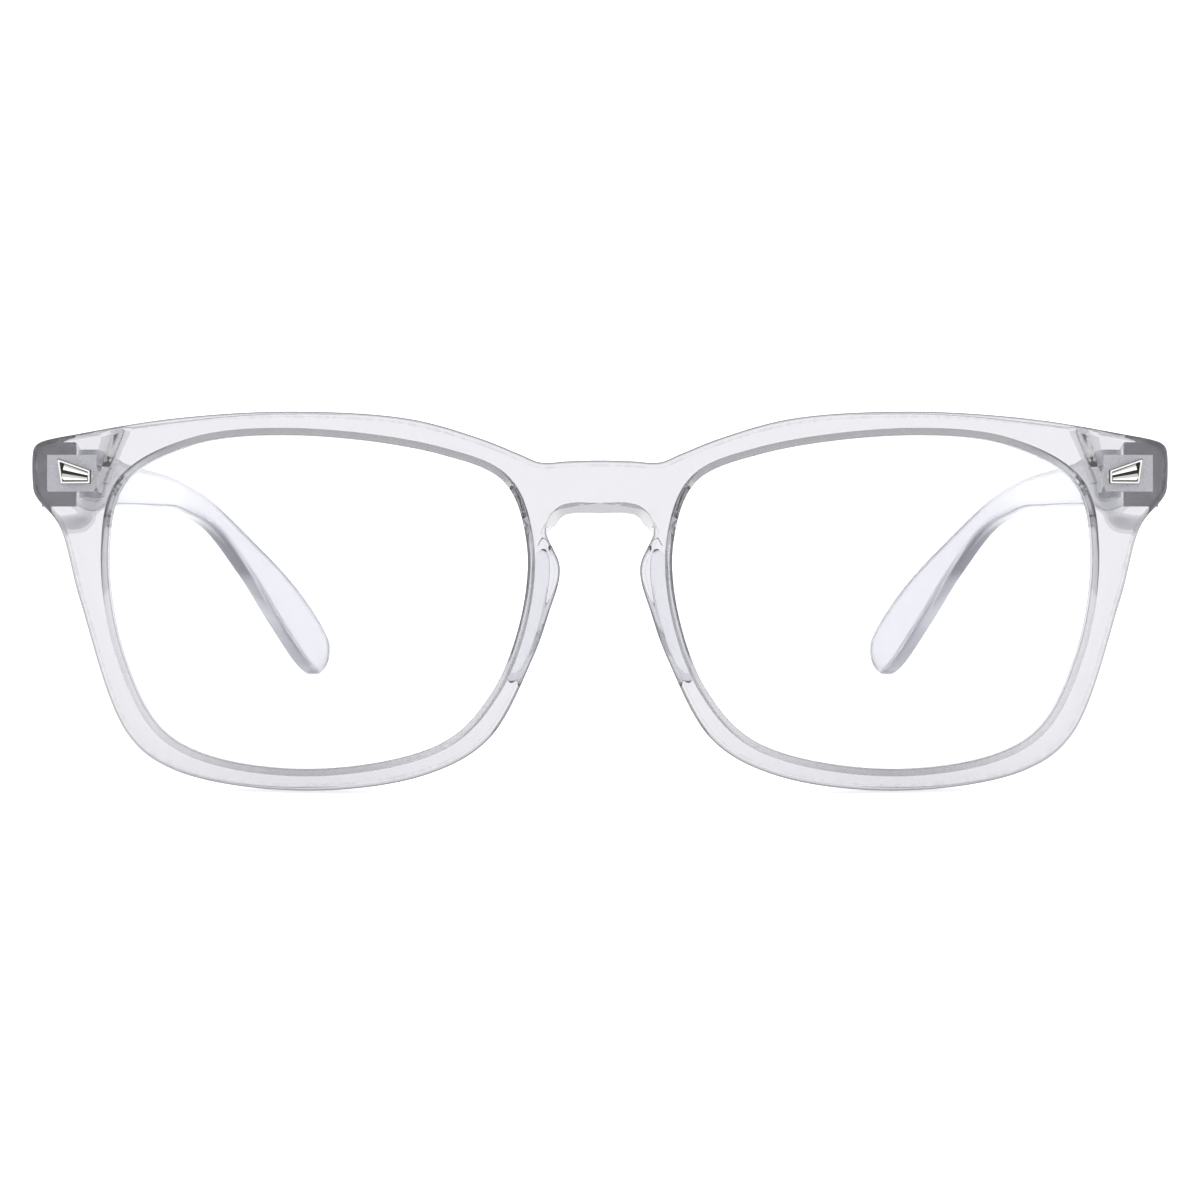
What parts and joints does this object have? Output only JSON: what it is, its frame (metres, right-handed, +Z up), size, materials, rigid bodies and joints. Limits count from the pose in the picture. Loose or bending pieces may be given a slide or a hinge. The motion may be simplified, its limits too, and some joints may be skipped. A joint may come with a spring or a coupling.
{
  "type": "blue light glasses",
  "caption": "Clear full-rim eyeglasses with soft-square lenses, a keyhole bridge, metal corner plaques and folding temples.",
  "frame": {"origin": "middle of the footprint, on the surface that the rims and the temple tips rest on", "axes": "+X towards the wearer's left side, +Y from the front back along the temples, +Z up; the front leans back 5.2 degrees"},
  "size_m": [0.1452, 0.1372, 0.0479],
  "materials": {
    "crystal_plastic": "polished clear acetate, water-clear with a faint lavender cast",
    "clear_lens": "polished clear lens with a thin anti-reflective coating",
    "hinge_metal": "plated nickel silver, satin",
    "screw_steel": "polished stainless steel",
    "trim_metal": "bright plated metal with dark grooves"
  },
  "bodies": {
    "front": {"front_frame": "crystal_plastic", "lens_left": "clear_lens", "lens_right": "clear_lens", "nose_pad_left": "crystal_plastic", "nose_pad_right": "crystal_plastic", "hinge_front_leaf_left": "hinge_metal", "hinge_front_leaf_right": "hinge_metal", "hinge_screw_left": "screw_steel", "hinge_screw_right": "screw_steel", "trim_plaque_left": "trim_metal", "trim_plaque_right": "trim_metal"},
    "left_temple": {"temple_left": "crystal_plastic", "hinge_temple_leaf_left": "hinge_metal"},
    "right_temple": {"temple_right": "crystal_plastic", "hinge_temple_leaf_right": "hinge_metal"}
  },
  "joints": [
    {"name": "left_temple_hinge", "type": "hinge", "parent": "front", "child": "left_temple", "pos_m": [0.0651, -0.05226, 0.03941], "axis": [0, 0.0908, 0.9959], "range_deg": [0, 82]},
    {"name": "right_temple_hinge", "type": "hinge", "parent": "front", "child": "right_temple", "pos_m": [-0.0651, -0.05226, 0.03941], "axis": [0, -0.0908, -0.9959], "range_deg": [0, 74]}
  ]
}
